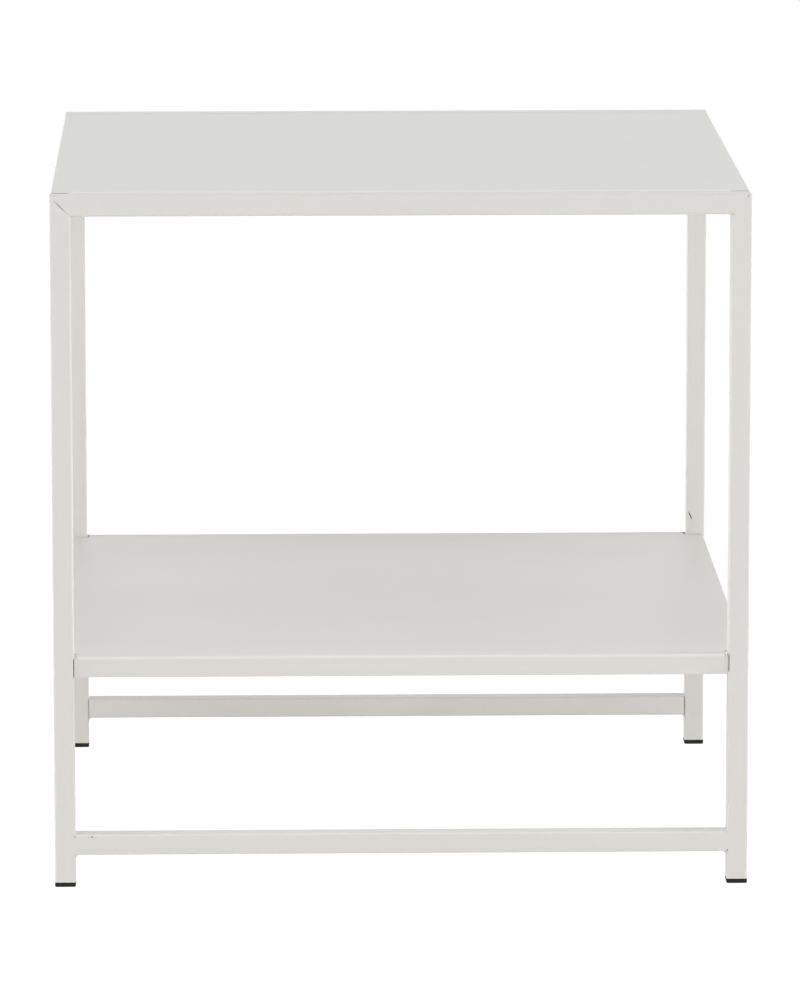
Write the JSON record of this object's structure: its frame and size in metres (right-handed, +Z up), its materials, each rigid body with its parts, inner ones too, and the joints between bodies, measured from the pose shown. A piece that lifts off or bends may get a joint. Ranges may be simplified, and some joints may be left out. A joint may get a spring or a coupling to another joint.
{
  "type": "end table with shelf",
  "caption": "Square end table in powder-coated steel: welded square-tube frames at the front and the rear carry a folded sheet top and a low folded sheet shelf, on black plastic feet.",
  "frame": {"origin": "on the floor, at the centre of the footprint", "axes": "+Z up from the floor, +X to the right seen from the front, -Y towards the front"},
  "size_m": [0.5, 0.5, 0.5025],
  "materials": {
    "powder_coat": "satin powder coat with a fine texture, warm off-white",
    "foot_plastic": "moulded, matte black",
    "zinc_steel": "bright zinc plating"
  },
  "bodies": {
    "root": {"front_left_leg": "powder_coat", "front_right_leg": "powder_coat", "rear_left_leg": "powder_coat", "rear_right_leg": "powder_coat", "front_top_rail": "powder_coat", "rear_top_rail": "powder_coat", "front_stretcher": "powder_coat", "rear_stretcher": "powder_coat", "front_frame_welds": "powder_coat", "rear_frame_welds": "powder_coat", "top_panel": "powder_coat", "shelf_panel": "powder_coat", "front_left_foot": "foot_plastic", "front_right_foot": "foot_plastic", "rear_left_foot": "foot_plastic", "rear_right_foot": "foot_plastic", "top_rivet_nuts": "zinc_steel", "top_screws": "zinc_steel", "shelf_rivet_nuts": "zinc_steel", "shelf_screws": "zinc_steel"}
  },
  "joints": []
}
